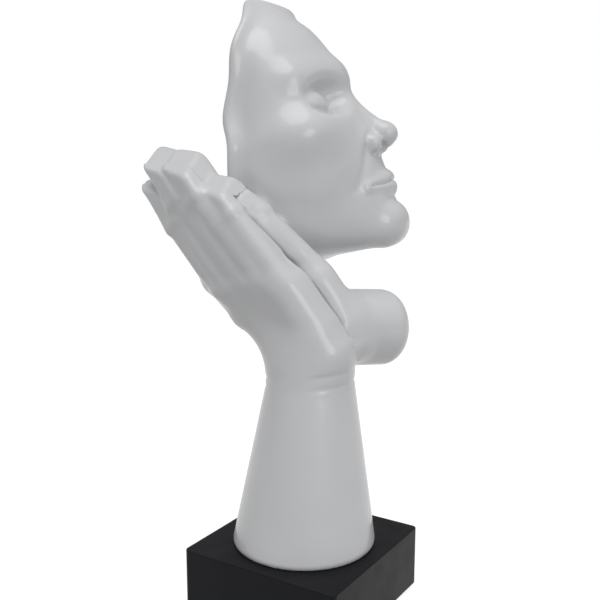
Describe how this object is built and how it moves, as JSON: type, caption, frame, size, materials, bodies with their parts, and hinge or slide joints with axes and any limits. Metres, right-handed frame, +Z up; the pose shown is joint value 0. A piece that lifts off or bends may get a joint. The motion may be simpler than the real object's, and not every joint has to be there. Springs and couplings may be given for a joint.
{
  "type": "face and hands sculpture",
  "caption": "Table sculpture of hands laid palm to palm that carry the hollow mask of a resting face, rising from a square plinth.",
  "frame": {"origin": "middle of the underside of the felt that the sculpture stands on", "axes": "+Z up, along the height; +X the side of the plinth that the face looks to; +Y the side that the mask overhangs"},
  "size_m": [0.1614, 0.1768, 0.3567],
  "materials": {
    "white_lacquered_resin": "gloss",
    "black_lacquered_wood": "satin",
    "black_felt": "matte",
    "zinc_plated_steel": "satin",
    "plain_brass": "satin"
  },
  "bodies": {
    "root": {"felt_base": "black_felt", "plinth": "black_lacquered_wood", "right_hand_and_forearm": "white_lacquered_resin", "left_hand": "white_lacquered_resin", "face_mask": "white_lacquered_resin", "base_bolt_1": "zinc_plated_steel", "base_bolt_2": "zinc_plated_steel", "bolt_washer_1": "zinc_plated_steel", "bolt_washer_2": "zinc_plated_steel", "threaded_insert_1": "plain_brass", "threaded_insert_2": "plain_brass", "hand_dowel_1": "zinc_plated_steel", "hand_dowel_2": "zinc_plated_steel", "face_dowel_1": "zinc_plated_steel", "face_dowel_2": "zinc_plated_steel"}
  },
  "joints": []
}
